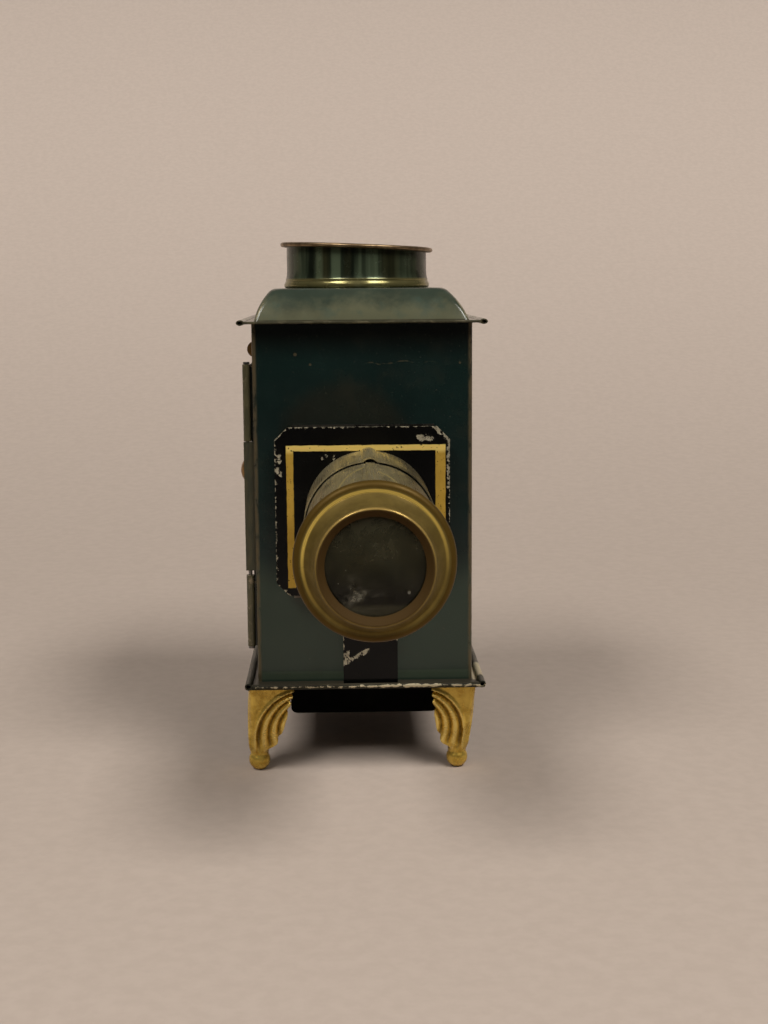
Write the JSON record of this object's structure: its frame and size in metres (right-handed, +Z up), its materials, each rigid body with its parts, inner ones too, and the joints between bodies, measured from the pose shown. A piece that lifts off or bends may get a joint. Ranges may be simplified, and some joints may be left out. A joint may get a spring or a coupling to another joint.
{
  "type": "magic lantern",
  "caption": "Small tin magic lantern: painted lamp house with a side door, oil lamp inside, slide stage and drawn brass lens in front, short chimney on a hipped roof, cast leaf feet.",
  "frame": {"origin": "on the floor, under the middle of the lantern's length and width", "axes": "+Z up, -Y along the lens towards the picture, -X to the door"},
  "size_m": [0.0932, 0.237, 0.1963],
  "materials": {
    "body_paint": "glossy dark blue-green stove paint with worn edges",
    "base_paint": "glossy dark paint, chipped to bare metal along the front edge",
    "roof_paint": "glossy dark green paint",
    "lacquer": "clear green lacquer over bright metal",
    "rim_brass": "tarnished",
    "gilt": "gilt casting, rubbed",
    "board_japan": "black japan with a gold line",
    "brass": "tarnished brass with bright worn edges",
    "tinplate": "dull aged tinplate",
    "steel": "dull",
    "lens_glass": "clear",
    "lamp_glass": "clear",
    "mirror": "polished",
    "cotton": "woven"
  },
  "bodies": {
    "house": {"front_panel": "body_paint", "body_wrap": "body_paint", "base_plate": "base_paint", "draught_tray": "base_paint", "foot_front_left": "gilt", "foot_front_right": "gilt", "foot_rear_left": "gilt", "foot_rear_right": "gilt", "roof": "roof_paint", "roof_collar": "tinplate", "hinge_leaf": "body_paint", "hinge_pin": "steel", "turn_button_rivet": "brass", "lens_board": "board_japan", "slide_guide_upper": "tinplate", "slide_guide_lower": "tinplate", "slide_springs": "steel", "lens_sleeve": "tinplate", "condenser_lens": "lens_glass", "condenser_cell": "tinplate", "condenser_ring": "tinplate", "lamp_rails": "tinplate"},
    "chimney": {"chimney_tube": "lacquer", "chimney_rim": "rim_brass"},
    "door": {"door_panel": "body_paint", "door_knob": "brass", "door_knob_nut": "steel"},
    "button": {"turn_button": "brass"},
    "lens_draw": {"draw_tube": "tinplate", "lens_bezel": "brass", "objective_lens": "lens_glass", "lens_retaining_ring": "brass", "rear_objective_lens": "lens_glass", "rear_lens_rings": "tinplate"},
    "lamp": {"lamp_tank": "tinplate", "burner_gallery": "brass", "wick_tube": "brass", "lamp_glass": "lamp_glass", "reflector": "mirror", "reflector_bracket": "tinplate"},
    "cap": {"filler_cap": "brass"},
    "wick_shaft": {"wick_spindle": "brass", "wick_knob": "brass"},
    "wick_body": {"wick": "cotton"}
  },
  "joints": [
    {"name": "door_swing", "type": "hinge", "parent": "house", "child": "door", "pos_m": [-0.0422, -0.00215, 0.0995], "axis": [0, 0, 1], "range_deg": [0, 110]},
    {"name": "button_turn", "type": "hinge", "parent": "house", "child": "button", "pos_m": [-0.0416, 0.03985, 0.1539], "axis": [1, 0, 0], "range_deg": [0, 180]},
    {"name": "focus_slide", "type": "slide", "parent": "house", "child": "lens_draw", "axis": [0, -1, 0], "range_m": [-0.01, 0.012]},
    {"name": "chimney_lift", "type": "slide", "parent": "house", "child": "chimney", "axis": [0, 0, 1], "range_m": [0, 0.025]},
    {"name": "lamp_slide", "type": "slide", "parent": "house", "child": "lamp", "axis": [-1, 0, 0], "range_m": [0, 0.008]},
    {"name": "cap_lift", "type": "slide", "parent": "lamp", "child": "cap", "axis": [0, 0, 1], "range_m": [0, 0.008]},
    {"name": "wick_turn", "type": "hinge", "parent": "lamp", "child": "wick_shaft", "pos_m": [0, 0.05725, 0.06], "axis": [-1, 0, 0], "range_deg": [-60, 120]},
    {"name": "wick_raise", "type": "slide", "parent": "lamp", "child": "wick_body", "axis": [0, 0, 1], "range_m": [-0.002, 0.004]}
  ],
  "couplings": [
    {"joint": "wick_turn", "follows": "wick_raise", "rad_per_m": 500}
  ]
}
